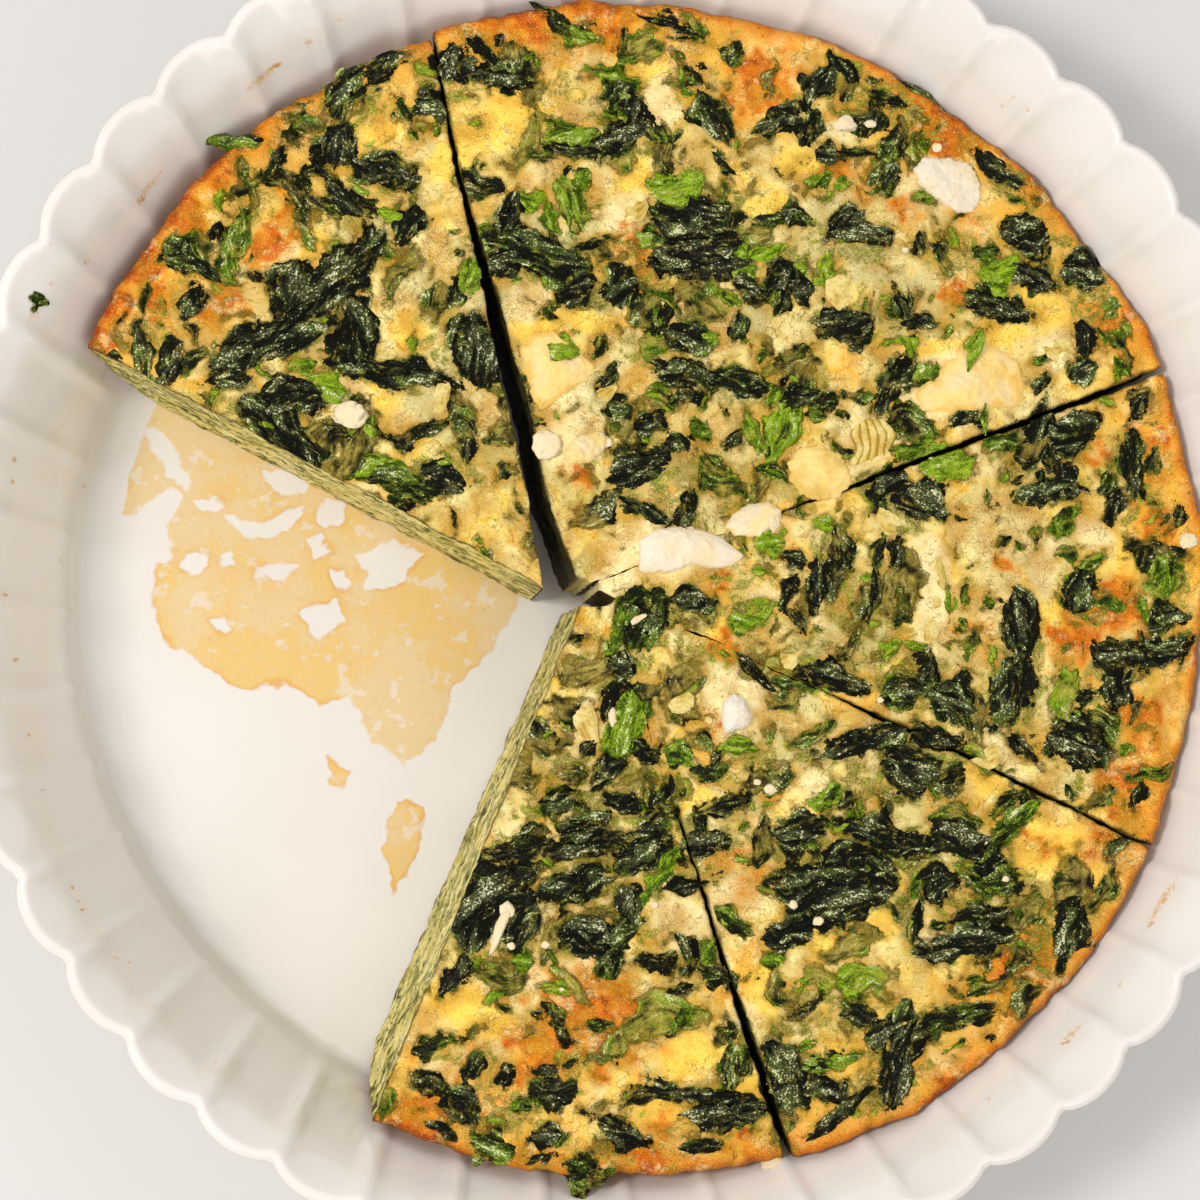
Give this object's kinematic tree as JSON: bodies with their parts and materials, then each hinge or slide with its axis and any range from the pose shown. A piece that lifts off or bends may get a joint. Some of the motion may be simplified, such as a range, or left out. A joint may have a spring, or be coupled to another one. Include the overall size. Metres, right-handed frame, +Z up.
{
  "type": "crustless spinach quiche in a fluted pie dish",
  "caption": "Round crustless spinach quiche baked in a white fluted pie dish and cut into wedges, with an open gap where portions were served, wilted leaves and soft cheese on top.",
  "frame": {"origin": "centre of the dish's foot ring, on the surface that the dish stands on", "axes": "+Z up out of the dish; +X to the right and +Y away from the viewer, with the open wedge on the -X side"},
  "size_m": [0.2716, 0.2712, 0.0478],
  "materials": {
    "glazed_porcelain": "glossy white glaze over porcelain, with dried cooking juice on the bare floor and a few specks on the wall",
    "baked_custard": "baked egg custard full of chopped wilted spinach, moist, with browned patches and a browned edge",
    "soft_cheese": "soft crumbly white cheese, matt",
    "wilted_spinach": "dark green cooked leaf, satin with small wet highlights"
  },
  "bodies": {
    "root": {"cheese_before_right_cut": "soft_cheese", "cheese_crumble": "soft_cheese", "cheese_far_right": "soft_cheese", "cheese_left_tip": "soft_cheese", "cheese_middle": "soft_cheese", "cheese_middle_right": "soft_cheese", "cheese_near_left_cut": "soft_cheese", "cheese_right": "soft_cheese", "leaf_big_fold": "wilted_spinach", "leaf_bottom_far": "wilted_spinach", "leaf_bottom_middle": "wilted_spinach", "leaf_bottom_rim": "wilted_spinach", "leaf_by_big_fold": "wilted_spinach", "leaf_far_left": "wilted_spinach", "leaf_left_corner": "wilted_spinach", "leaf_left_cut": "wilted_spinach", "leaf_left_edge": "wilted_spinach", "leaf_lower_right_big": "wilted_spinach", "leaf_lower_right_edge": "wilted_spinach", "leaf_lower_right_rim": "wilted_spinach", "leaf_right_cut": "wilted_spinach", "leaf_right_edge": "wilted_spinach", "leaf_right_long": "wilted_spinach", "leaf_right_rim": "wilted_spinach", "leaf_right_tip": "wilted_spinach", "leaf_star": "wilted_spinach", "leaf_top_curl": "wilted_spinach", "leaf_top_middle": "wilted_spinach", "leaf_top_right": "wilted_spinach", "leaf_top_strip": "wilted_spinach", "pie_dish": "glazed_porcelain", "slice_bottom": "baked_custard", "slice_lower_right": "baked_custard", "slice_right": "baked_custard", "slice_top": "baked_custard", "slice_upper_left": "baked_custard"}
  },
  "joints": []
}
